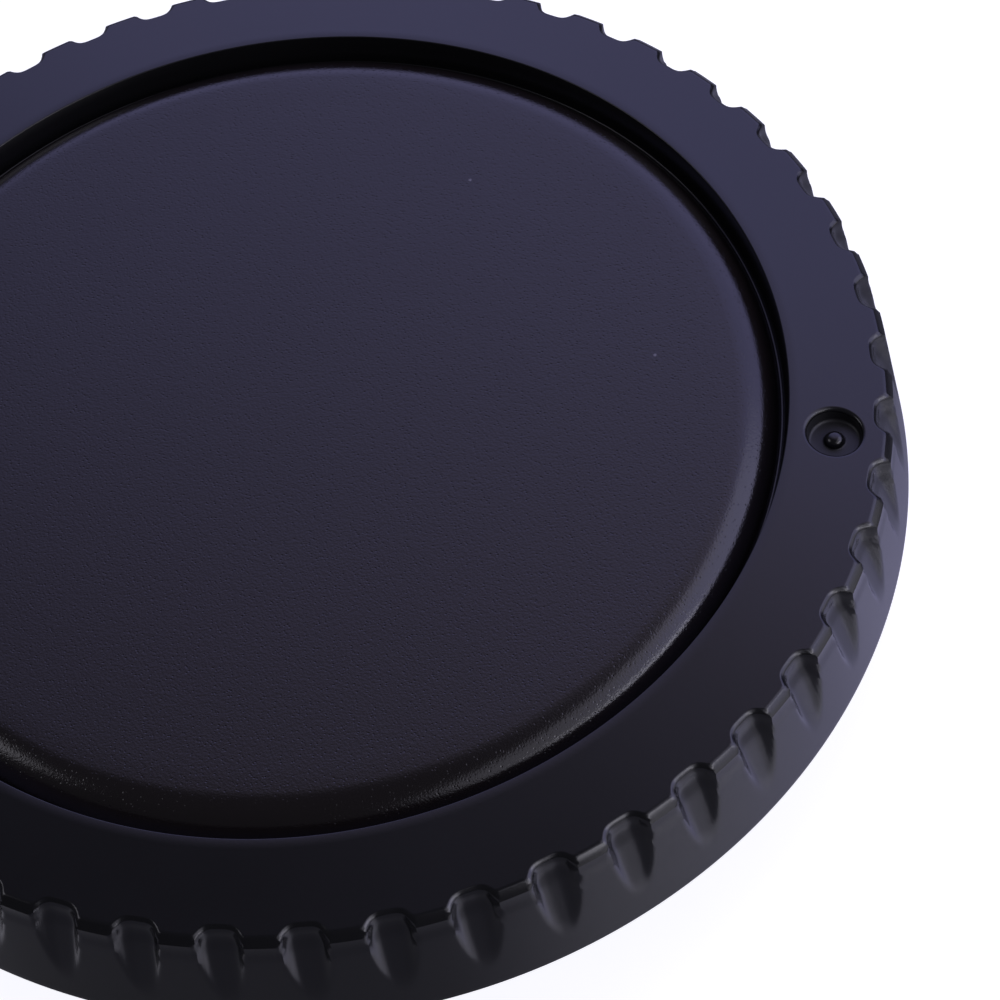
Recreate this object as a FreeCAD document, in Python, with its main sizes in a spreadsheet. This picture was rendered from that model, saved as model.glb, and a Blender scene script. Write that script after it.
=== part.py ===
import FreeCAD, Part
import math
import os
import Sketcher

# A body cap for the lens mount of an SLR camera, one moulding in black plastic.
# Millimetres. Z is the cap's axis, with the outer face up and the end of the bayonet collar at zero.
# The alignment dot lies on the X axis.

# Driving sizes: alias, value, what it is
SIZES = [
    ("throat_diameter", "54.0", "opening of the camera's lens mount, which the lugs pass"),
    ("lug_clearance", "0.2", "radial play of the lugs in the throat"),
    ("lug_reach", "1.3", "how far a lug stands out of the collar"),
    ("lug_thickness", "1.4", "thickness of a lug along the axis"),
    ("lug_chamfer", "0.4", "lead-in on a lug's lower outer edge"),
    ("lug_angle", "48", "length of a lug round the collar, in degrees"),
    ("lug_count", "3", "lugs round the collar"),
    ("collar_wall", "1.6", "wall of the bayonet collar"),
    ("collar_depth", "4.4", "collar below the seat"),
    ("face_wall", "1.7", "wall of the disc, the groove and the ring"),
    ("skirt_wall", "1.8", "wall of the skirt at the ring's outer edge"),
    ("rim_height", "7.4", "seat to the inner edge of the ring"),
    ("ring_width", "5.45", "ring from its inner edge to the grip"),
    ("ring_drop", "0.55", "fall of the ring from its inner to its outer edge"),
    ("rim_flare", "1.0", "how much wider the skirt is at the seat than at the ring"),
    ("groove_width", "0.15", "floor of the groove between disc and ring"),
    ("disc_draft", "0.6", "lean of the disc's wall down to the groove"),
    ("groove_draft", "0.3", "lean of the groove's outer wall"),
    ("groove_depth", "1.8", "floor of the groove below the ring's inner edge"),
    ("disc_sink", "0.35", "disc below the ring's inner edge"),
    ("shoulder_round", "1.8", "round on the disc's edge"),
    ("edge_bevel", "0.3", "bevel on the ring's outer edge"),
    ("notch_count", "48", "scoops round the grip"),
    ("notch_turn", "2.86", "first scoop from the dot, in degrees"),
    ("notch_radius", "1.45", "radius of a scoop, measured level"),
    ("notch_depth", "0.7", "depth of a scoop at the ring's outer edge"),
    ("notch_length", "5.4", "length of a scoop down to where it runs out of the wall"),
    ("dot_inset", "2.45", "middle of the alignment dot from the ring's inner edge"),
    ("dot_diameter", "3.0", "alignment dot"),
    ("dot_depth", "1.1", "floor of the dot below the ring's inner edge"),
    ("pip_diameter", "1.1", "pip in the middle of the dot"),
    ("pip_height", "0.4", "pip above the floor of the dot"),
    ("pip_bevel", "0.25", "bevel on the pip"),
]

# Radii and heights that follow from the sizes, as formulas of the sheet
COLLAR = "sizes.throat_diameter / 2 - sizes.lug_clearance - sizes.lug_reach"
LUG = "sizes.throat_diameter / 2 - sizes.lug_clearance"
BORE = COLLAR + " - sizes.collar_wall"
DISC_FOOT = COLLAR + " + sizes.disc_draft"
GROOVE = DISC_FOOT + " + sizes.groove_width"
RING = GROOVE + " + sizes.groove_draft"
GRIP = RING + " + sizes.ring_width"
RIM = GRIP + " + sizes.rim_flare"
DOT = RING + " + sizes.dot_inset"

SEAT_Z = "sizes.collar_depth"
TOP_Z = SEAT_Z + " + sizes.rim_height"
EDGE_Z = TOP_Z + " - sizes.ring_drop"
GROOVE_Z = TOP_Z + " - sizes.groove_depth"
DISC_Z = TOP_Z + " - sizes.disc_sink"
DOT_Z = TOP_Z + " - sizes.dot_depth"

# The disc's wall is this high and this long, which limits the round above it
DISC_RISE = "(sizes.groove_depth - sizes.disc_sink)"
DISC_WALL = "sqrt(sizes.disc_draft ^ 2 + " + DISC_RISE + " ^ 2)"
SHOULDER_LIMIT = DISC_WALL + " * " + DISC_RISE + " / (" + DISC_WALL + " - sizes.disc_draft)"

# The wall widens evenly down to the seat. A scoop leans out more than that, so it runs out of the wall.
# A scoop's cut starts level with the ring's inner edge and ends as far below its run-out.
WALL_LEAN = "sizes.rim_flare / (sizes.rim_height - sizes.ring_drop)"
SCOOP_LEAN = "(sizes.notch_depth / sizes.notch_length + " + WALL_LEAN + ")"
SCOOP_START = GRIP + " - sizes.notch_depth - sizes.ring_drop * " + SCOOP_LEAN
SCOOP_END = GRIP + " - sizes.notch_depth + (sizes.notch_length + sizes.ring_drop) * " + SCOOP_LEAN
SCOOP_END_Z = EDGE_Z + " - sizes.notch_length - sizes.ring_drop"

# The cap's axis as an upright and a level sketch see it
UPRIGHT = FreeCAD.Vector(0, 1, 0)
LEVEL = FreeCAD.Vector(0, 0, 1)

# Where a sketch's lines lie until their formulas place them, and how near an edge is to its corner
LOOSE = 30.0
MATCH = 1e-4

doc = FreeCAD.newDocument("body_cap")
sheet = doc.addObject("Spreadsheet::Sheet", "sizes")
for row, (alias, value, note) in enumerate(SIZES, start=1):
    sheet.set("A%d" % row, value)
    sheet.setAlias("A%d" % row, alias)
    sheet.set("B%d" % row, note)
doc.recompute()

body = doc.addObject("PartDesign::Body", "body_cap")
body.Label = "body_cap"
ORIGIN = {feature.Role: feature for feature in body.Origin.OriginFeatures}


def sketch_on(plane, name):
    """An empty sketch on one of the body's origin planes."""
    sketch = body.newObject("Sketcher::SketchObject", name)
    sketch.AttachmentSupport = [(ORIGIN[plane], "")]
    sketch.MapMode = "FlatFace"
    return sketch


def outline(sketch, places):
    """A closed outline of straight lines, each corner held at its formulas for radius and height.

    The lines start on a circle, which only keeps them apart until the formulas place them.
    """
    count = len(places)
    step = 2 * math.pi / count
    loose = [FreeCAD.Vector(LOOSE + math.cos(step * i), math.sin(step * i), 0) for i in range(count)]
    for i in range(count):
        sketch.addGeometry(Part.LineSegment(loose[i], loose[(i + 1) % count]), False)
    for i in range(count):
        sketch.addConstraint(Sketcher.Constraint("Coincident", i, 2, (i + 1) % count, 1))
    for line, place in enumerate(places):
        for kind, axis, formula in zip(("DistanceX", "DistanceY"), (-2, -1), place):
            if formula == "0":
                sketch.addConstraint(Sketcher.Constraint("PointOnObject", line, 1, axis))
                continue
            number = sketch.addConstraint(Sketcher.Constraint(kind, -1, 1, line, 1, LOOSE))
            sketch.setExpression("Constraints[%d]" % number, formula)
    doc.recompute()


def circle(sketch, place, diameter):
    """A circle on the sketch's first axis, its place and size held at their formulas."""
    sketch.addGeometry(Part.Circle(FreeCAD.Vector(LOOSE, 0, 0), LEVEL, 1), False)
    sketch.addConstraint(Sketcher.Constraint("PointOnObject", 0, 3, -1))
    number = sketch.addConstraint(Sketcher.Constraint("DistanceX", -1, 1, 0, 3, LOOSE))
    sketch.setExpression("Constraints[%d]" % number, place)
    number = sketch.addConstraint(Sketcher.Constraint("Diameter", 0, 2.0))
    sketch.setExpression("Constraints[%d]" % number, diameter)
    doc.recompute()


def turned(sketch, axis, angle):
    """Turn a sketch about the cap's axis, as the sketch sees it, by a formula in degrees."""
    sketch.AttachmentOffset = FreeCAD.Placement(FreeCAD.Vector(), FreeCAD.Rotation(axis, 1))
    sketch.setExpression("AttachmentOffset.Rotation.Angle", angle)
    doc.recompute()


def raised(sketch, height):
    """Lift a level sketch to a formula for its height."""
    sketch.setExpression("AttachmentOffset.Base.z", height)
    doc.recompute()


def corners(*names):
    """Radius and height of the section's named corners."""
    points = [section.Geometry[list(SECTION).index(name)].StartPoint for name in names]
    return [(point.x, point.y) for point in points]


def ease_edges(kind, name, places, size, formula):
    """Round or bevel the circular edges of the given radii at the given heights."""
    base = body.Tip
    names = []
    for number, edge in enumerate(base.Shape.Edges, start=1):
        if not isinstance(edge.Curve, Part.Circle):
            continue
        ring = edge.Curve
        for radius, height in places:
            if abs(ring.Radius - radius) < MATCH and abs(ring.Center.z - height) < MATCH:
                names.append("Edge%d" % number)
    if len(names) != len(places):
        raise RuntimeError("%s found %d of %d edges" % (name, len(names), len(places)))
    eased = body.newObject("PartDesign::" + kind, name)
    eased.Base = (base, names)
    eased.setExpression(size, formula)
    doc.recompute()


def round_the_cap(name, feature, count):
    """Repeat a feature evenly about the cap's axis."""
    pattern = body.newObject("PartDesign::PolarPattern", name)
    pattern.Originals = [feature]
    pattern.Axis = (ORIGIN["Z_Axis"], [""])
    pattern.Angle = 360
    pattern.setExpression("Occurrences", count)
    body.Tip = pattern
    doc.recompute()
    return pattern


# The shell: disc, groove, ring, skirt, seat and collar in one turned section
SECTION = {
    "disc_middle": ("0", DISC_Z),
    "disc_edge": (COLLAR, DISC_Z),
    "groove_inner": (DISC_FOOT, GROOVE_Z),
    "groove_outer": (GROOVE, GROOVE_Z),
    "ring_inner": (RING, TOP_Z),
    "ring_outer": (GRIP, EDGE_Z),
    "seat_outer": (RIM, SEAT_Z),
    "seat_inner": (GRIP + " - sizes.skirt_wall", SEAT_Z),
    "skirt_root": (GRIP + " - sizes.skirt_wall", EDGE_Z + " - sizes.face_wall"),
    "ring_back": (RING + " + sizes.face_wall", EDGE_Z + " - sizes.face_wall"),
    "collar_root": (COLLAR, GROOVE_Z + " - sizes.face_wall"),
    "collar_end": (COLLAR, "0"),
    "bore_end": (BORE, "0"),
    "bore_root": (BORE, DISC_Z + " - sizes.face_wall"),
    "disc_back": ("0", DISC_Z + " - sizes.face_wall"),
}
section = sketch_on("XZ_Plane", "section")
outline(section, list(SECTION.values()))

shell = body.newObject("PartDesign::Revolution", "shell")
shell.Profile = section
shell.ReferenceAxis = (section, ["V_Axis"])
shell.Angle = 360
doc.recompute()

# The disc's soft shoulder fills its wall at most, and the ring's outer edge is broken
ease_edges("Fillet", "shoulder", corners("disc_edge"), "Radius",
           "min(sizes.shoulder_round; 0.97 * " + SHOULDER_LIMIT + ")")
ease_edges("Chamfer", "ring_bevel", corners("ring_outer"), "Size", "sizes.edge_bevel")
plain_volume = body.Shape.Volume

# The grip: round scoops that lean out until they run out of the wall, each turned about its own leaning axis
scoop = sketch_on("XZ_Plane", "scoop")
turned(scoop, UPRIGHT, "sizes.notch_turn")
outline(scoop, [
    (SCOOP_START + " + sizes.notch_radius", TOP_Z),
    (SCOOP_END + " + sizes.notch_radius", SCOOP_END_Z),
    (SCOOP_END, SCOOP_END_Z),
    (SCOOP_START, TOP_Z),
])
notch = body.newObject("PartDesign::Groove", "notch")
notch.Profile = scoop
notch.ReferenceAxis = (scoop, ["Edge1"])
notch.Angle = 360
doc.recompute()
round_the_cap("grip", notch, "sizes.notch_count")
grip_volume = body.Shape.Volume

# The alignment dot: a round recess in the ring with a low pip in it
dot_outline = sketch_on("XY_Plane", "dot_outline")
raised(dot_outline, TOP_Z)
circle(dot_outline, DOT, "sizes.dot_diameter")
dot = body.newObject("PartDesign::Pocket", "dot")
dot.Profile = dot_outline
dot.setExpression("Length", "sizes.dot_depth")
doc.recompute()
dot_volume = body.Shape.Volume

pip_outline = sketch_on("XY_Plane", "pip_outline")
raised(pip_outline, DOT_Z)
circle(pip_outline, DOT, "sizes.pip_diameter")
pip = body.newObject("PartDesign::Pad", "pip")
pip.Profile = pip_outline
pip.setExpression("Length", "sizes.pip_height")
doc.recompute()
pip_edge = (pip_outline.Geometry[0].Radius, pip_outline.Placement.Base.z + pip.Length.Value)
ease_edges("Chamfer", "pip_bevel", [pip_edge], "Size", "sizes.pip_bevel")

# The bayonet lugs, at the end of the collar, with the dot midway between two of them
lug_section = sketch_on("XZ_Plane", "lug_section")
turned(lug_section, UPRIGHT, "180 / sizes.lug_count")
outline(lug_section, [
    (COLLAR + " - sizes.collar_wall / 2", "0"),
    (LUG + " - sizes.lug_chamfer", "0"),
    (LUG, "sizes.lug_chamfer"),
    (LUG, "sizes.lug_thickness"),
    (COLLAR + " - sizes.collar_wall / 2", "sizes.lug_thickness"),
])
lug = body.newObject("PartDesign::Revolution", "lug")
lug.Profile = lug_section
lug.ReferenceAxis = (lug_section, ["V_Axis"])
lug.setExpression("Angle", "sizes.lug_angle")
lug.Midplane = True
doc.recompute()
round_the_cap("lugs", lug, "sizes.lug_count")

# Nothing is written unless every feature is sound and every cut took material away
failed = [thing.Name for thing in doc.Objects if {"Invalid", "Error"} & set(thing.State)]
if failed:
    raise RuntimeError("failed: " + ", ".join(failed))
if not dot_volume < grip_volume < plain_volume:
    raise RuntimeError("a cut took nothing away")
if body.Shape.isNull() or not body.Shape.isValid() or len(body.Shape.Solids) != 1:
    raise RuntimeError("the cap is not one sound solid")

os.makedirs("parts", exist_ok=True)
body.Shape.exportStep("parts/%s.step" % body.Label)
box = body.Shape.optimalBoundingBox(False)
print("%s: %.1f mm3, %d faces, box %.2f x %.2f x %.2f mm" % (
    body.Label, body.Shape.Volume, len(body.Shape.Faces), box.XLength, box.YLength, box.ZLength))
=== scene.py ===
# %% [markdown]
# # A camera body cap in black ABS
#
# This cap closes the lens mount of an SLR camera. It is one moulding: a grained disc in the middle, a groove, a smooth
# ring with an alignment dot, a grip rim with 48 scoops, and a bayonet collar underneath. The solid model is the frame,
# and this lesson dresses it: one surface for the whole cap, its finishes, the light and the camera.

import math

import bpy
import numpy as np
from mathutils import Matrix, Vector


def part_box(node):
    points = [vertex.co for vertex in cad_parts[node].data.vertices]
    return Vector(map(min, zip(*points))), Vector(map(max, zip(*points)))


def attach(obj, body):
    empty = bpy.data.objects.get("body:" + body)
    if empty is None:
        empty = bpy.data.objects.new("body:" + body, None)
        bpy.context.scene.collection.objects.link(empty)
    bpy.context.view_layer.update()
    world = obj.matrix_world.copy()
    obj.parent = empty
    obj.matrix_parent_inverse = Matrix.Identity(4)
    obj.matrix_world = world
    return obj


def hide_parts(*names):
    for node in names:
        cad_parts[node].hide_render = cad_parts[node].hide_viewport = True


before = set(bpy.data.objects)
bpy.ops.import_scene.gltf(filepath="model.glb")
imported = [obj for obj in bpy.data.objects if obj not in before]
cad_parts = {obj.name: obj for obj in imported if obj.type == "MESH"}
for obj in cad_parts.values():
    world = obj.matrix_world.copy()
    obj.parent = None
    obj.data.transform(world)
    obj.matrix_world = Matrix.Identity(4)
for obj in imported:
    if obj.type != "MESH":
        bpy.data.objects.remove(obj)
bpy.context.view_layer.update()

# %% [markdown]
# ## Sizes
#
# Lengths below are in millimetres, as on a drawing, and MM turns them into Blender's metres. The outer radius, the top
# and the end of the collar come from the frame. The rest follow the solid, with the small rounds that a mould leaves on
# every edge. The disc's shoulder is softer here than on the solid, and the scoops are a little deeper and shorter, as
# the photograph shows them.

# %% Sizes
MM = 0.001

box_low, box_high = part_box("body_cap")
TOP = box_high.z / MM
RIM = box_high.x / MM
SEAT = 4.4

COLLAR = 25.5
DISC = 25.3
DISC_FOOT = 26.1
DISC_TOP = TOP - 0.35
SHOULDER = 2.65
GROOVE = 26.25
GROOVE_FLOOR = TOP - 1.8
RING = 26.55
GRIP = 32.0
EDGE = TOP - 0.55

SKIRT_INNER = 30.2
SEAT_OUTER = RIM - 1.0
RING_BACK = 28.25
BORE = 23.9
WALL = 1.7
LUG = 26.8
LUG_TOP = 1.4
LUG_LEAD = 0.4
LUG_HALF_ANGLE = math.radians(24)
LUG_COUNT = 3

NOTCHES = 48
NOTCH_TURN = math.radians(2.86)
NOTCH_HALF = 1.22
NOTCH_DEPTH = 0.9
NOTCH_LENGTH = 4.6

DOT = 29.0
DOT_RADIUS = 1.44
DOT_FLOOR = TOP - 1.1
PIP_RADIUS = 0.52
PIP_HEIGHT = 0.45

EDGE_ROUND = 0.36
SCOOP_ROUND = 0.14
SMALL_ROUND = 0.15
GROOVE_ROUND = 0.09
RING_ROUND = 0.06
HOLLOW_ROUND = 0.4
print(f"cap: {2 * RIM:.1f} mm across, {TOP:.1f} mm high")

# %% [markdown]
# ## The section
#
# Most of the cap is turned: one section carried round the axis. A section is a row of points with a round at each
# corner, so a helper takes plain corners and replaces each by an arc that touches both sides. Its tangent length is
# the radius times the tangent of half the turn, and its points lie on a circle about the corner's own centre.

# %% Rounded sections
def rounded(corners):
    """Points of an outline whose corners (x, z, radius, steps) are replaced by arcs that touch both sides."""
    points = []
    for number, (x, z, radius, steps) in enumerate(corners):
        here = np.array([x, z])
        if radius == 0:
            points.append(here[None])
            continue
        before = np.array(corners[number - 1][:2]) - here
        after = np.array(corners[number + 1][:2]) - here
        before /= np.linalg.norm(before)
        after /= np.linalg.norm(after)
        half = math.acos(before @ after) / 2
        middle = (before + after) / np.linalg.norm(before + after)
        centre = here + middle * radius / math.sin(half)
        start = here + before * radius / math.tan(half) - centre
        end = here + after * radius / math.tan(half) - centre
        share = np.linspace(0, 1, steps + 1)[:, None]
        sweep = math.pi - 2 * half
        arc = np.sin((1 - share) * sweep) * start + np.sin(share * sweep) * end
        points.append(centre + arc / math.sin(sweep))
    return np.concatenate(points)


def ring_height(r):
    """The ring falls evenly from its inner to its outer edge."""
    return TOP + (EDGE - TOP) * (r - RING) / (GRIP - RING)


def spaced(start, end, steps):
    """Plain corners evenly spaced from start up to, but not with, end."""
    share = np.linspace(0, 1, steps, endpoint=False)[:, None]
    line = np.array(start) + share * (np.array(end) - np.array(start))
    return [(x, z, 0, 0) for x, z in line.tolist()]


DOT_WINDOW = (27.12, 30.88)
WINDOW_ROWS = 8
window_radii = np.linspace(*DOT_WINDOW, WINDOW_ROWS + 1)

face_section = rounded([
    *spaced((0.0, DISC_TOP), (DISC, DISC_TOP), 9)[1:],
    (DISC, DISC_TOP, SHOULDER, 12),
    (DISC_FOOT, GROOVE_FLOOR, GROOVE_ROUND, 3),
    (GROOVE, GROOVE_FLOOR, GROOVE_ROUND, 3),
    (RING, TOP, RING_ROUND, 3),
    (window_radii[0], ring_height(window_radii[0]), 0, 0),
])
face_section = np.concatenate([
    face_section,
    np.stack([window_radii[1:], ring_height(window_radii[1:])], axis=1),
])
print("face section:", len(face_section), "points")

# %% [markdown]
# ## The grip
#
# A scoop is a round flute that leans out more than the wall does, so it is deep at the top and runs out lower down.
# Seen from the axis, each surface is a radius for every angle and height: the wall is a cone and the flute a leaning
# channel. The deeper of the two wins. A soft minimum does that and leaves a small round where they meet, as a mould
# does. The wall's top edge has a flat bevel, and a scoop cuts through it with a much smaller edge of its own.

# %% Grip surface
FINE = 28
COARSE = 7
fine_columns = NOTCHES * FINE
coarse_columns = NOTCHES * COARSE
fine_angles = np.arange(fine_columns) * 2 * math.pi / fine_columns
coarse_angles = np.arange(coarse_columns) * 2 * math.pi / coarse_columns

PITCH = 2 * math.pi / NOTCHES
LAND_ROUND = 0.12
WALL_LEAN = (RIM - GRIP) / (EDGE - SEAT)
NOTCH_POWER = 4
NOTCH_TAPER = 0.3


def soft_min(a, b, width):
    """The smaller of a and b, with a round of about the given width where they cross."""
    h = np.clip(0.5 + 0.5 * (b - a) / width, 0, 1)
    return b + (a - b) * h - width * h * (1 - h)


def wall_radius(z):
    """The rim's cone, wider at the seat than at the ring."""
    return GRIP + WALL_LEAN * (EDGE - z)


def grip_radius(angle, z, inset=0.0, scoop_inset=0.0):
    """Radius of the rim at an angle and height, with the wall and the scoops drawn in by their own insets.

    The flute's floor moves out evenly on the way down, and its half width shrinks slowly and then fast. Across it,
    the section is nearly flat in the middle and steep at the sides: it rises by its depth times the share of its half
    width, raised to a power.
    """
    off = (angle - NOTCH_TURN + PITCH / 2) % PITCH - PITCH / 2
    down = np.clip((EDGE - z) / NOTCH_LENGTH, 0, 1)
    floor = GRIP - NOTCH_DEPTH + (NOTCH_DEPTH / NOTCH_LENGTH + WALL_LEAN) * (EDGE - z)
    half = NOTCH_HALF * (1 - NOTCH_TAPER * down**4) + scoop_inset
    rise = NOTCH_DEPTH * (np.abs(GRIP * np.sin(off)) / half) ** NOTCH_POWER
    scoop = (floor + np.minimum(rise, 3 * NOTCH_DEPTH) - scoop_inset) / np.cos(off)
    return soft_min(wall_radius(z) - inset, scoop, LAND_ROUND)


RING_STEPS = 5
ROUND_STEPS = 8
WALL_STEPS = 25
FOOT_STEPS = 3
SEAT_ROUND = 0.2
FLATNESS = 0.85
BLEND_SHARE = 1 / 6

lip = grip_radius(fine_angles, EDGE, EDGE_ROUND, SCOOP_ROUND)
outward_share = np.linspace(0, 1, RING_STEPS + 1)[1:, None]
ring_r = window_radii[-1] + (lip - window_radii[-1]) * outward_share
ring_rows = np.stack([ring_r, ring_height(ring_r)], axis=-1)

edge_share = np.linspace(0, 1, ROUND_STEPS + 1)[1:, None]
quarter = edge_share * math.pi / 2
edge_inset = EDGE_ROUND * (FLATNESS * (1 - edge_share) + (1 - FLATNESS) * (1 - np.sin(quarter)))
edge_drop = EDGE_ROUND * (FLATNESS * edge_share + (1 - FLATNESS) * (1 - np.cos(quarter)))
scoop_edge = np.maximum(SCOOP_ROUND - edge_drop, 0)
round_r = grip_radius(fine_angles, EDGE - edge_drop, edge_inset, scoop_edge)
round_rows = np.stack([round_r, ring_height(round_r) - edge_drop], axis=-1)

wall_share = np.linspace(0, 1, WALL_STEPS + 1)[1:, None]
wall_z = round_rows[-1, :, 1] + (SEAT + SEAT_ROUND - round_rows[-1, :, 1]) * wall_share
blend = np.minimum(wall_share / BLEND_SHARE, 1)
wall_r = grip_radius(fine_angles, wall_z)
wall_rows = np.stack([round_rows[-1, :, 0] * (1 - blend) + wall_r * blend, wall_z], axis=-1)

foot_turn = np.linspace(0, math.pi / 2, FOOT_STEPS + 1)[1:, None] + np.zeros(fine_columns)
foot_r = wall_radius(SEAT) - SEAT_ROUND * (1 - np.cos(foot_turn))
foot_rows = np.stack([foot_r, SEAT + SEAT_ROUND * (1 - np.sin(foot_turn))], axis=-1)

grip_rows = np.concatenate([ring_rows, round_rows, wall_rows, foot_rows])
print("grip:", grip_rows.shape[0], "rows of", fine_columns, "columns")

# %% [markdown]
# ## The underside
#
# The photograph hides this side, so it has what such caps have: the seat that meets the camera, a channel behind the
# ring, the collar with three lugs, and the cup behind the disc. The collar's lower end has two sections with the same
# number of points, one plain and one with a lug, and each column takes one of them. Two columns are moved to each
# end of a lug, a hair apart, so that the end face is upright.

# %% Underside sections
COLLAR_SPLIT = 2.5

back_section = rounded([
    (SEAT_OUTER, SEAT, 0, 0),
    (SKIRT_INNER, SEAT, SMALL_ROUND, 3),
    (SKIRT_INNER, EDGE - WALL, HOLLOW_ROUND, 4),
    (RING_BACK, EDGE - WALL, HOLLOW_ROUND, 3),
    (COLLAR, GROOVE_FLOOR - WALL, HOLLOW_ROUND, 4),
    *spaced((COLLAR, 6.5), (COLLAR, COLLAR_SPLIT), 4),
    (COLLAR, LUG_TOP, 0, 0),
])[:-1]

lug_section = rounded([
    (COLLAR, COLLAR_SPLIT, 0, 0),
    (COLLAR, LUG_TOP, SMALL_ROUND, 3),
    (LUG, LUG_TOP, SMALL_ROUND, 3),
    (LUG, LUG_LEAD, 0.1, 2),
    (LUG - LUG_LEAD, 0.0, 0.1, 2),
    (COLLAR - 0.4, 0.0, 0, 0),
    (BORE, 0.0, 0, 0),
])[:-1]

cup_section = rounded([
    (COLLAR - 0.4, 0.0, 0, 0),
    (BORE, 0.0, SMALL_ROUND, 3),
    *spaced((BORE, 2.0), (BORE, 8.5), 4),
    (BORE, DISC_TOP - WALL, HOLLOW_ROUND, 4),
    *spaced((BORE - 2.0, DISC_TOP - WALL), (0.0, DISC_TOP - WALL), 7),
    (0.0, DISC_TOP - WALL, 0, 0),
])[1:-1]

plain_end = rounded([
    (COLLAR, COLLAR_SPLIT, 0, 0),
    (COLLAR, 0.0, 0.25, 4),
    (COLLAR - 0.4, 0.0, 0, 0),
    (BORE, 0.0, 0, 0),
])[1:-1]
straight = len(lug_section) - len(plain_end)
collar_top = np.array([COLLAR, COLLAR_SPLIT])
down_share = np.linspace(0, 1, straight, endpoint=False)[:, None]
plain_section = np.concatenate([collar_top + down_share * (plain_end[0] - collar_top), plain_end])

END_GAP = math.radians(0.05)
lug_middles = (np.arange(LUG_COUNT) + 0.5) * 2 * math.pi / LUG_COUNT
collar_angles = coarse_angles.copy()
for middle in lug_middles:
    for side in (-1, 1):
        end = middle + side * LUG_HALF_ANGLE
        column = int(end / (2 * math.pi / coarse_columns))
        collar_angles[column] = end - END_GAP / 2
        collar_angles[column + 1] = end + END_GAP / 2
from_lug = np.abs((collar_angles[:, None] - lug_middles + math.pi) % (2 * math.pi) - math.pi).min(axis=1)
has_lug = (from_lug < LUG_HALF_ANGLE)[None, :, None]
collar_rows = np.where(has_lug, lug_section[:, None], plain_section[:, None])
print("underside:", len(back_section), "+", len(lug_section), "+", len(cup_section), "points")

# %% [markdown]
# ## Joining the rows
#
# The grip needs four times as many columns as the rest. Where two grids meet, one many-sided face joins each coarse
# cell to its four fine ones. The faces are index arrays: a cell's corners are its own number, the next column's,
# and the same two a row further on.

# %% Grid helpers
def turned(section, angles):
    """Carry a section of (radius, height) points round the axis: one row of vertices for each point."""
    section = np.broadcast_to(section[:, None], (len(section), len(angles), 2))
    return placed(section, angles)


def placed(rows, angles):
    """Vertices of rows of (radius, height), each column at its angle."""
    r = rows[..., 0] * MM
    return np.stack([r * np.cos(angles), r * np.sin(angles), rows[..., 1] * MM], axis=-1)


def cells(first_row, rows, columns):
    """Quads between neighbouring rows of a grid that closes on itself, facing out of a section that runs outward."""
    own = first_row + np.arange(rows - 1)[:, None] * columns + np.arange(columns)
    after = first_row + np.arange(rows - 1)[:, None] * columns + (np.arange(columns) + 1) % columns
    return np.stack([own, own + columns, after + columns, after], axis=-1).reshape(-1, 4)


def step_faces(coarse_row, fine_row, outward):
    """Faces that join each cell of a coarse row to the fine columns beside it."""
    ratio = fine_columns // coarse_columns
    cell = np.arange(coarse_columns)
    fine = fine_row + (cell[:, None] * ratio + np.arange(ratio + 1)) % fine_columns
    coarse = coarse_row + np.stack([(cell + 1) % coarse_columns, cell], axis=1)
    faces = np.concatenate([fine, coarse], axis=1)
    return faces if outward else faces[:, ::-1]


def fan(pole, row, columns, outward):
    """Triangles from a pole to the row round it."""
    own = row + np.arange(columns)
    after = row + (np.arange(columns) + 1) % columns
    faces = np.stack([np.full(columns, pole), own, after], axis=1)
    return faces if outward else faces[:, ::-1]


print("columns:", coarse_columns, "coarse,", fine_columns, "fine")

# %% [markdown]
# ## The alignment dot
#
# The dot is a round recess with a low pip. A square window of the ring's grid is left open for it, and the
# window's edge is joined to a circle with three times as many points. From there the dot is a small turned piece of
# its own: loops of a radius about the dot's middle, each at a height. The rim follows the ring, and the floor is level.

# %% Dot loops
WINDOW_COLUMNS = 4
DOT_POINTS = 3
PIP_ROWS = 8

dot_section = rounded([
    (DOT_RADIUS + 0.24, 0.0, 0, 0),
    (DOT_RADIUS, 0.0, 0.22, 5),
    (DOT_RADIUS, -1.0, 0, 0),
])[:-1]
floor_section = rounded([
    (DOT_RADIUS, DOT_FLOOR + 0.6, 0, 0),
    (DOT_RADIUS - 0.05, DOT_FLOOR, 0.2, 4),
    (PIP_RADIUS + 0.05, DOT_FLOOR, 0.1, 3),
    (PIP_RADIUS - 0.1, DOT_FLOOR + PIP_HEIGHT, 0.42, 6),
    (0.0, DOT_FLOOR + PIP_HEIGHT, 0, 0),
])[1:-1]


def window_loop(first_row):
    """Vertices round the open window, against the clock seen from outside, from its inner lower corner."""
    columns = np.arange(-WINDOW_COLUMNS, WINDOW_COLUMNS + 1) % coarse_columns
    rows = first_row + np.arange(WINDOW_ROWS + 1) * coarse_columns
    return np.concatenate([
        rows[:-1] + columns[0],
        rows[-1] + columns[:-1],
        rows[:0:-1] + columns[-1],
        rows[0] + columns[:0:-1],
    ])


def dot_vertices(window):
    """Loops of the dot: each of the window's points keeps its angle about the dot, with two more between neighbours."""
    flat = window[:, :2] / MM - np.array([DOT, 0.0])
    corner = np.unwrap(np.arctan2(flat[:, 1], flat[:, 0]))
    corner = np.append(corner, corner[0] + 2 * math.pi)
    angles = np.interp(np.arange(len(flat) * DOT_POINTS) / DOT_POINTS, np.arange(len(flat) + 1), corner)
    section = np.concatenate([dot_section, floor_section])
    x = DOT + section[:, :1] * np.cos(angles)
    y = section[:, :1] * np.sin(angles)
    z = np.broadcast_to(section[:, 1:], x.shape).copy()
    z[:len(dot_section)] += ring_height(np.hypot(x, y))[:len(dot_section)]
    return np.stack([x, y, z], axis=-1) * MM


print("dot:", len(dot_section) + len(floor_section), "loops")

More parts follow.
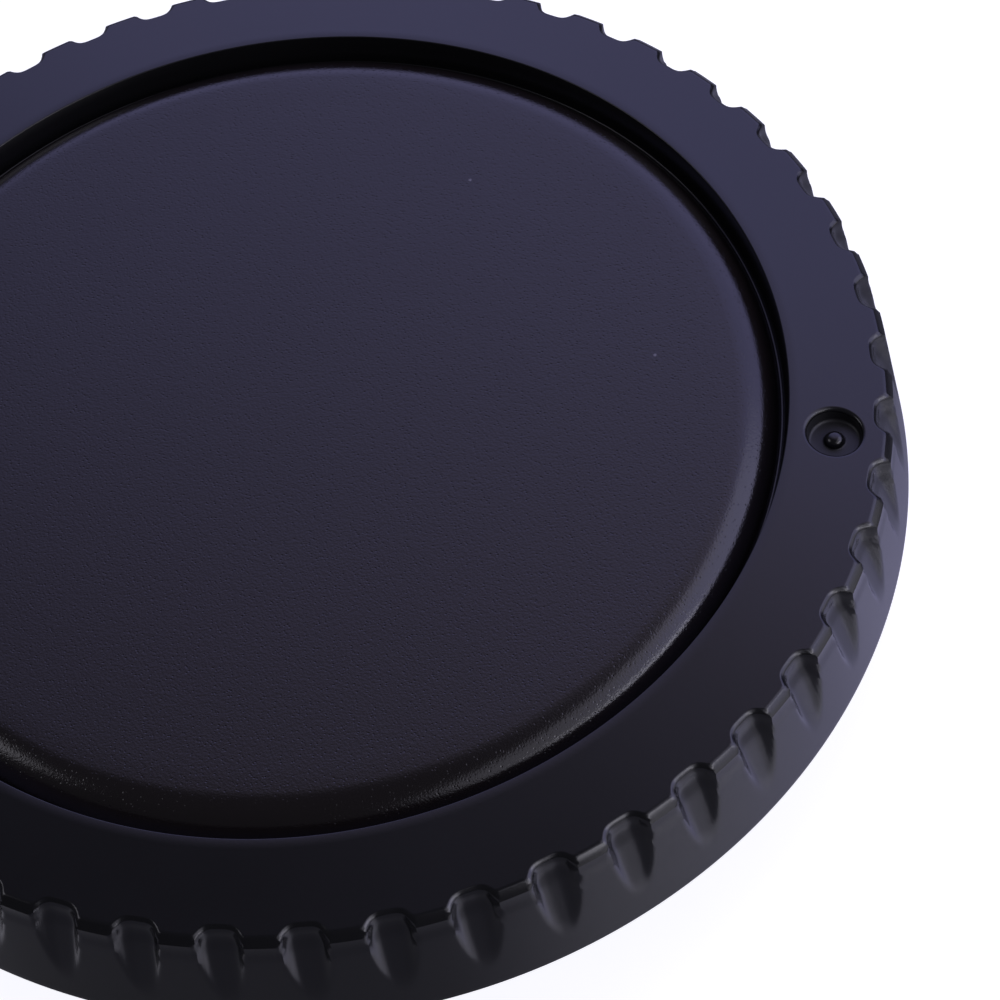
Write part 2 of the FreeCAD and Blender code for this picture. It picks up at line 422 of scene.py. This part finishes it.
# %% [markdown]
# ## One closed surface
#
# The rows follow each other from the middle of the disc over the ring, down the grip, under the seat, down the collar
# and up into the cup. Each part keeps the number of its first vertex, the faces are laid between the rows, and each
# face is told which finish it has: the grain belongs to the disc and its shoulder, down into the groove.

# %% Cap mesh
parts = {
    "face": turned(face_section, coarse_angles),
    "grip": placed(grip_rows, fine_angles),
    "back": turned(back_section, coarse_angles),
    "collar": placed(collar_rows, collar_angles),
    "cup": turned(cup_section, coarse_angles),
}
first = {}
vertices = []
total = 0
for name, rows in parts.items():
    first[name] = total
    vertices.append(rows.reshape(-1, 3))
    total += rows.shape[0] * rows.shape[1]

window_row = len(face_section) - WINDOW_ROWS - 1
loop = window_loop(first["face"] + window_row * coarse_columns)
dot_loops = dot_vertices(np.concatenate(vertices)[loop])
first["dot"] = total
vertices.append(dot_loops.reshape(-1, 3))
total += dot_loops.shape[0] * dot_loops.shape[1]
poles = {"disc": total, "cup": total + 1, "pip": total + 2}
vertices.append(np.array([
    [0.0, 0.0, DISC_TOP],
    [0.0, 0.0, DISC_TOP - WALL],
    [DOT, 0.0, DOT_FLOOR + PIP_HEIGHT],
]) * MM)
vertices = np.concatenate(vertices)

last_face = first["face"] + (len(face_section) - 1) * coarse_columns
last_grip = first["grip"] + (len(grip_rows) - 1) * fine_columns

face_cells = cells(first["face"], len(face_section), coarse_columns)
cell_row, cell_column = np.divmod(np.arange(len(face_cells)), coarse_columns)
beside = (cell_column + WINDOW_COLUMNS) % coarse_columns < 2 * WINDOW_COLUMNS
face_cells = face_cells[~((cell_row >= window_row) & beside)]
cell_row = cell_row[~((cell_row >= window_row) & beside)]

under_rows = sum(len(parts[name]) for name in ("back", "collar", "cup"))
last_cup = first["back"] + (under_rows - 1) * coarse_columns

dot_count = dot_loops.shape[1]
edge = np.arange(len(loop))
dot_join = np.concatenate([
    loop[edge][:, None],
    first["dot"] + (edge[:, None] * DOT_POINTS + np.arange(DOT_POINTS + 1)) % dot_count,
    loop[(edge + 1) % len(loop)][:, None],
], axis=1)
dot_cells = cells(first["dot"], len(dot_loops), dot_count)[:, ::-1]
rim_cells = (len(dot_section) - 1) * dot_count
pip_cells = (len(dot_loops) - PIP_ROWS) * dot_count

GRAINED, SATIN, PLAIN = 0, 1, 2
grained_rows = int(np.argmin(np.abs(face_section - np.array([DISC_FOOT, GROOVE_FLOOR])).sum(axis=1)))
patches = [
    (fan(poles["disc"], first["face"], coarse_columns, True), GRAINED),
    (face_cells[cell_row < grained_rows], GRAINED),
    (face_cells[cell_row >= grained_rows], SATIN),
    (step_faces(last_face, first["grip"], True), SATIN),
    (cells(first["grip"], len(grip_rows), fine_columns), SATIN),
    (step_faces(first["back"], last_grip, False), PLAIN),
    (cells(first["back"], under_rows, coarse_columns), PLAIN),
    (fan(poles["cup"], last_cup, coarse_columns, False), PLAIN),
    (dot_join[:, ::-1], SATIN),
    (dot_cells[:rim_cells], SATIN),
    (dot_cells[rim_cells:pip_cells], PLAIN),
    (dot_cells[pip_cells:], SATIN),
    (fan(poles["pip"], first["dot"] + (len(dot_loops) - 1) * dot_count, dot_count, True), SATIN),
]
face_list = [face for faces, _ in patches for face in faces.tolist()]
finishes = np.concatenate([np.full(len(faces), finish) for faces, finish in patches])

mesh = bpy.data.meshes.new("body_cap_moulding")
mesh.from_pydata(vertices.tolist(), [], face_list)
mesh.polygons.foreach_set("material_index", finishes.astype(np.int32))
mesh.polygons.foreach_set("use_smooth", np.ones(len(face_list), dtype=bool))
mesh.set_sharp_from_angle(angle=math.radians(38))
mesh.update()
cap = bpy.data.objects.new("body_cap_moulding", mesh)
bpy.context.scene.collection.objects.link(cap)
mesh.calc_loop_triangles()
print("cap mesh:", len(vertices), "vertices,", len(mesh.loop_triangles), "triangles")

# %% [markdown]
# ## The plastic
#
# The cap is moulded in black ABS. A mould's polish is copied onto the plastic, so one material has three finishes. The
# disc comes from a spark-eroded face of the mould: a fine, even grain that breaks reflections into small sparkles. The
# ring and the grip come from a smoother face and shine like satin. Black plastic gets nearly all it shows the eye
# from reflection, so roughness and bump matter more here than colour.

# %% Colour and nodes
def linear(code):
    """Linear colour of an sRGB hex code."""
    parts = np.array([int(code[i:i + 2], 16) for i in (1, 3, 5)]) / 255
    return [*np.where(parts <= 0.04045, parts / 12.92, ((parts + 0.055) / 1.055) ** 2.4), 1.0]


def node(tree, kind, settings=None, **sockets):
    """Add a node, set its properties, and set or link its sockets by name."""
    made = tree.nodes.new(kind)
    for name, value in (settings or {}).items():
        setattr(made, name, value)
    for name, value in sockets.items():
        socket = made.inputs[name.replace("_", " ")]
        if isinstance(value, bpy.types.NodeSocket):
            tree.links.new(value, socket)
        else:
            socket.default_value = value
    return made


def per_mm(size):
    """Texture scale for a pattern of the given size in millimetres."""
    return 1 / (size * MM)


print("black ABS in linear light:", [round(float(part), 4) for part in linear("#0B0B0C")[:3]])

# %% [markdown]
# ## Its finishes
#
# Each finish is the same plastic with its own polish and grain. The colour and the polish wander a little over the
# part, as they do on a moulding. The grain is a bump whose size and depth are given in millimetres.

# %% Black ABS finishes
FLOW_SIZE = 14
SPECK_RADII = (0.04, 0.12)
SPECK_COLOUR = "#6A6870"
ABS_IOR = 1.53

# Dust that lies on the disc in the photograph: pale specks, in millimetres
DUST = [(19.07, 4.53, 11.45), (7.37, 16.25, 11.45)]


def black_abs(name, colours, roughness, grain, depth, pit_share, dust=()):
    """Black ABS that wanders between two colours and two roughnesses, with a grain of a size and depth in millimetres.

    The grain is soft noise with sharp little pits in it. The pit share is how much of the depth they have. Each grain
    of dust is a pale spot round its place.
    """
    material = bpy.data.materials.new(name)
    material.use_nodes = True
    tree = material.node_tree
    tree.nodes.clear()
    place = node(tree, "ShaderNodeTexCoord").outputs["Object"]
    flow = node(tree, "ShaderNodeTexNoise", Vector=place, Scale=per_mm(FLOW_SIZE), Detail=3.0).outputs["Fac"]
    tint = node(tree, "ShaderNodeMix", {"data_type": "RGBA"})
    tree.links.new(flow, tint.inputs["Factor"])
    tint.inputs[6].default_value = linear(colours[0])
    tint.inputs[7].default_value = linear(colours[1])
    colour = tint.outputs[2]
    for spot in dust:
        away = node(tree, "ShaderNodeVectorMath", {"operation": "DISTANCE"})
        tree.links.new(place, away.inputs[0])
        away.inputs[1].default_value = Vector(spot) * MM
        speck = node(tree, "ShaderNodeMapRange", Value=away.outputs["Value"], From_Min=SPECK_RADII[0] * MM,
                     From_Max=SPECK_RADII[1] * MM, To_Min=1.0, To_Max=0.0)
        dusty = node(tree, "ShaderNodeMix", {"data_type": "RGBA"})
        tree.links.new(speck.outputs["Result"], dusty.inputs["Factor"])
        tree.links.new(colour, dusty.inputs[6])
        dusty.inputs[7].default_value = linear(SPECK_COLOUR)
        colour = dusty.outputs[2]
    dull = node(tree, "ShaderNodeMapRange", Value=flow, From_Min=0.3, From_Max=0.7,
                To_Min=roughness[0], To_Max=roughness[1])
    soft = node(tree, "ShaderNodeTexNoise", Vector=place, Scale=per_mm(grain), Detail=2.0).outputs["Fac"]
    cell = node(tree, "ShaderNodeTexVoronoi", Vector=place, Scale=per_mm(2 * grain)).outputs["Distance"]
    pit = node(tree, "ShaderNodeMapRange", {"interpolation_type": "SMOOTHSTEP"}, Value=cell, From_Max=0.3,
               To_Max=pit_share).outputs["Result"]
    relief = node(tree, "ShaderNodeMath", {"operation": "MULTIPLY_ADD"})
    tree.links.new(soft, relief.inputs[0])
    relief.inputs[1].default_value = 1 - pit_share
    tree.links.new(pit, relief.inputs[2])
    bump = node(tree, "ShaderNodeBump", Height=relief.outputs["Value"], Strength=1.0, Distance=depth * MM)
    shader = node(tree, "ShaderNodeBsdfPrincipled", Base_Color=colour, Roughness=dull.outputs["Result"],
                  Normal=bump.outputs["Normal"], IOR=ABS_IOR)
    node(tree, "ShaderNodeOutputMaterial", Surface=shader.outputs["BSDF"])
    return material


finish_of = {
    # The disc comes from a spark-eroded mould face: shiny between fine pits, so it glitters where a lamp is mirrored.
    # The real grain is finer than a pixel of the photograph, and it is drawn coarser here so that it shows at all.
    GRAINED: black_abs("black_abs_spark_grain", ("#14100F", "#171312"), (0.14, 0.18), 0.12, 0.02, 0.5, DUST),
    # The ring, grip and pip are a smoother face of the mould: black satin that mirrors the tent softly.
    SATIN: black_abs("black_abs_satin", ("#0B0B0C", "#0F0F10"), (0.20, 0.24), 0.25, 0.002, 0.0),
    # The underside and the floor of the dot come from unpolished mould faces: dull black with a wide, soft sheen.
    PLAIN: black_abs("black_abs_moulded_back", ("#101012", "#141416"), (0.40, 0.5), 0.4, 0.004, 0.0),
}
for finish in sorted(finish_of):
    mesh.materials.append(finish_of[finish])
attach(cap, "root")
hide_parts("body_cap")
print("finishes:", [material.name for material in mesh.materials])

# %% [markdown]
# ## Floor and light
#
# The cap lies on a white acrylic table in a light tent. A black satin surface is a picture of what stands round it: the
# ring mirrors the bright far side of the tent, and the near side mirrors the dark where the camera is. The upright
# grip looks down, so it mirrors the table, which in turn mirrors the lamps. The camera itself sees plain white.

# %% Floor
VIEW_TURN = math.radians(14.90)
FLOOR_HALF = 1.5
MIRRORED_GLOW = 0.06
SHEEN_NEAR, SHEEN_FAR = 0.4, 0.12
SHEEN_FADE = (-14, 2)


def toward(azimuth, elevation):
    """Direction in the scene of an azimuth seen from the camera's side and an elevation, both in degrees."""
    bearing = math.radians(azimuth) + VIEW_TURN
    rise = math.radians(elevation)
    return Vector((math.cos(rise) * math.cos(bearing), math.cos(rise) * math.sin(bearing), math.sin(rise)))


floor_mesh = bpy.data.meshes.new("table")
floor_corners = [(-FLOOR_HALF, -FLOOR_HALF, 0), (FLOOR_HALF, -FLOOR_HALF, 0),
                 (FLOOR_HALF, FLOOR_HALF, 0), (-FLOOR_HALF, FLOOR_HALF, 0)]
floor_mesh.from_pydata(floor_corners, [], [(0, 1, 2, 3)])
floor = bpy.data.objects.new("table", floor_mesh)
bpy.context.scene.collection.objects.link(floor)

# White acrylic: a glossy sheet that mirrors the lamps up to the grip, more on its near part than behind the cap. To the
# camera it is plain white with a faint shadow of the cap.
acrylic = bpy.data.materials.new("white_acrylic")
acrylic.use_nodes = True
floor_tree = acrylic.node_tree
floor_tree.nodes.clear()
floor_path = node(floor_tree, "ShaderNodeLightPath")
mirrored = node(floor_tree, "ShaderNodeMath", {"operation": "MAXIMUM"})
floor_tree.links.new(floor_path.outputs["Is Glossy Ray"], mirrored.inputs[0])
floor_tree.links.new(floor_path.outputs["Is Transmission Ray"], mirrored.inputs[1])
strength = node(floor_tree, "ShaderNodeMath", {"operation": "MULTIPLY_ADD"})
floor_tree.links.new(mirrored.outputs["Value"], strength.inputs[0])
strength.inputs[1].default_value = MIRRORED_GLOW
floor_tree.links.new(floor_path.outputs["Is Camera Ray"], strength.inputs[2])
matte = node(floor_tree, "ShaderNodeBsdfDiffuse", Color=linear("#808086"))
gloss = node(floor_tree, "ShaderNodeBsdfGlossy", Color=linear("#F4F4F8"), Roughness=0.3)
behind = node(floor_tree, "ShaderNodeVectorMath", {"operation": "DOT_PRODUCT"})
floor_tree.links.new(node(floor_tree, "ShaderNodeTexCoord").outputs["Object"], behind.inputs[0])
behind.inputs[1].default_value = toward(90, 0)
sheen = node(floor_tree, "ShaderNodeMapRange", Value=behind.outputs["Value"], From_Min=SHEEN_FADE[0] * MM,
             From_Max=SHEEN_FADE[1] * MM, To_Min=SHEEN_NEAR, To_Max=SHEEN_FAR)
sheet = node(floor_tree, "ShaderNodeMixShader", Fac=sheen.outputs["Result"])
floor_tree.links.new(matte.outputs[0], sheet.inputs[1])
floor_tree.links.new(gloss.outputs[0], sheet.inputs[2])
shine = node(floor_tree, "ShaderNodeEmission", Color=linear("#F6F6FC"), Strength=strength.outputs["Value"])
both = node(floor_tree, "ShaderNodeAddShader")
floor_tree.links.new(sheet.outputs[0], both.inputs[0])
floor_tree.links.new(shine.outputs[0], both.inputs[1])
node(floor_tree, "ShaderNodeOutputMaterial", Surface=both.outputs[0])
floor_mesh.materials.append(acrylic)
print("floor:", 2 * FLOOR_HALF, "m square")

# %% [markdown]
# ## The tent
#
# The world is the tent. It is bright on the far and right sides, from low down to about 55 degrees up, and dims towards
# the top. A colour ramp over the height of the direction says how bright it is, and a soft step over the direction's
# share towards the bright side says where it ends. The other sides are dark, as a studio is.

# %% World
TENT_AZIMUTH = 45
TENT_SIDE = (0.0, 0.65)
TENT_GAIN = 1.55
TENT_DARK = "#3A3A40"
CAMERA_SKY = "#DDDDDD"
TENT = [(12, "#202024"), (23, "#BEBCFF"), (43, "#B8B7F8"), (50, "#C0BEFF"), (58, "#BAB2DC"), (63, "#A69EB6"),
        (69, "#8E8B9E"), (74, "#767484"), (78, "#605E6C"), (88, "#585864")]

world = bpy.data.worlds.new("light_tent")
bpy.context.scene.world = world
world.use_nodes = True
world_tree = world.node_tree
world_tree.nodes.clear()
way = node(world_tree, "ShaderNodeTexCoord").outputs["Generated"]
height = node(world_tree, "ShaderNodeSeparateXYZ", Vector=way).outputs["Z"]
cloth = node(world_tree, "ShaderNodeValToRGB", Fac=height)
stops = cloth.color_ramp.elements
for number, (elevation, code) in enumerate(TENT):
    stop = stops[number] if number < 2 else stops.new(1.0)
    stop.position = math.sin(math.radians(elevation))
    stop.color = linear(code)
side = node(world_tree, "ShaderNodeVectorMath", {"operation": "DOT_PRODUCT"})
world_tree.links.new(way, side.inputs[0])
side.inputs[1].default_value = toward(TENT_AZIMUTH, 0)
within = node(world_tree, "ShaderNodeMapRange", {"interpolation_type": "SMOOTHSTEP"}, Value=side.outputs["Value"],
              From_Min=TENT_SIDE[0], From_Max=TENT_SIDE[1])
shade = node(world_tree, "ShaderNodeMix", {"data_type": "RGBA"})
world_tree.links.new(within.outputs["Result"], shade.inputs["Factor"])
shade.inputs[6].default_value = linear(TENT_DARK)
world_tree.links.new(cloth.outputs["Color"], shade.inputs[7])
world_path = node(world_tree, "ShaderNodeLightPath")
sky = node(world_tree, "ShaderNodeMix", {"data_type": "RGBA"})
world_tree.links.new(world_path.outputs["Is Camera Ray"], sky.inputs["Factor"])
world_tree.links.new(shade.outputs[2], sky.inputs[6])
sky.inputs[7].default_value = linear(CAMERA_SKY)
background = node(world_tree, "ShaderNodeBackground", Color=sky.outputs[2], Strength=TENT_GAIN)
node(world_tree, "ShaderNodeOutputWorld", Surface=background.outputs[0])
print("tent:", len(TENT), "stops")

# %% [markdown]
# ## The lamps
#
# One large softbox on the right lights the grip and the shoulder. A strip in front of it draws the bright bars on the
# bevelled edge, a low one brightens the scoops' edges, and a small one on the left marks the shoulder there.

# %% Lamps
LAMP_DISTANCE = 0.6


def softbox(name, azimuth, elevation, width, height, power, code):
    """A lamp that looks at the cap from an azimuth and elevation in degrees, with its size in metres."""
    lamp = bpy.data.lights.new(name, "AREA")
    lamp.shape = "RECTANGLE"
    lamp.size = width
    lamp.size_y = height
    lamp.energy = power
    lamp.color = linear(code)[:3]
    holder = bpy.data.objects.new(name, lamp)
    way = toward(azimuth, elevation)
    holder.matrix_world = Matrix.Translation(way * LAMP_DISTANCE) @ way.to_track_quat("Z", "Y").to_matrix().to_4x4()
    bpy.context.scene.collection.objects.link(holder)
    return holder


lamps = [
    softbox("right_softbox", -18, 44, 0.9, 0.5, 1.12, "#EEECFF"),
    softbox("strip_light", -36, 34, 0.46, 0.08, 0.5, "#F4F2FF"),
    softbox("low_softbox", -25, 12, 0.9, 0.2, 0.55, "#F4F2FF"),
    softbox("left_softbox", 172, 42, 0.25, 0.25, 0.3, "#F4F2FF"),
]
print("lamps:", [lamp.name for lamp in lamps])

# %% [markdown]
# ## The camera
#
# The camera looks down at 55 degrees through a long lens, turned a little, with the cap's axis left of the middle of
# the picture. Its place follows from that: from the axis at the ring's level, back along the line of sight, and aside
# until the axis lies at its pixel.

# %% Camera
PICTURE = 1000
FOCAL_PIXELS = 2998
AXIS_PIXEL = (293.86, 400.72)
VIEW_ELEVATION = math.radians(55.07)
VIEW_ROLL = math.radians(-9.06)
VIEW_DISTANCE = 161.46
SENSOR = 36.0

around = Matrix.Rotation(VIEW_TURN, 3, "Z")
level = around @ Vector((1, 0, 0))
back = around @ Vector((0, -math.cos(VIEW_ELEVATION), math.sin(VIEW_ELEVATION)))
upward = back.cross(level)
right = math.cos(VIEW_ROLL) * level + math.sin(VIEW_ROLL) * upward
up = math.cos(VIEW_ROLL) * upward - math.sin(VIEW_ROLL) * level
aside = (AXIS_PIXEL[0] - PICTURE / 2) / FOCAL_PIXELS * VIEW_DISTANCE
above = (PICTURE / 2 - AXIS_PIXEL[1]) / FOCAL_PIXELS * VIEW_DISTANCE
eye = Vector((0, 0, TOP)) - aside * right - above * up + VIEW_DISTANCE * back

lens = bpy.data.cameras.new("camera")
lens.sensor_width = SENSOR
lens.lens = SENSOR * FOCAL_PIXELS / PICTURE
lens.clip_start = 0.01
camera = bpy.data.objects.new("camera", lens)
camera.matrix_world = Matrix.Translation(eye * MM) @ Matrix((right, up, back)).transposed().to_4x4()
bpy.context.scene.collection.objects.link(camera)
bpy.context.scene.camera = camera
bpy.context.scene.view_settings.view_transform = "Standard"
print("camera at", tuple(round(x) for x in eye), "mm, lens", round(lens.lens, 1), "mm")
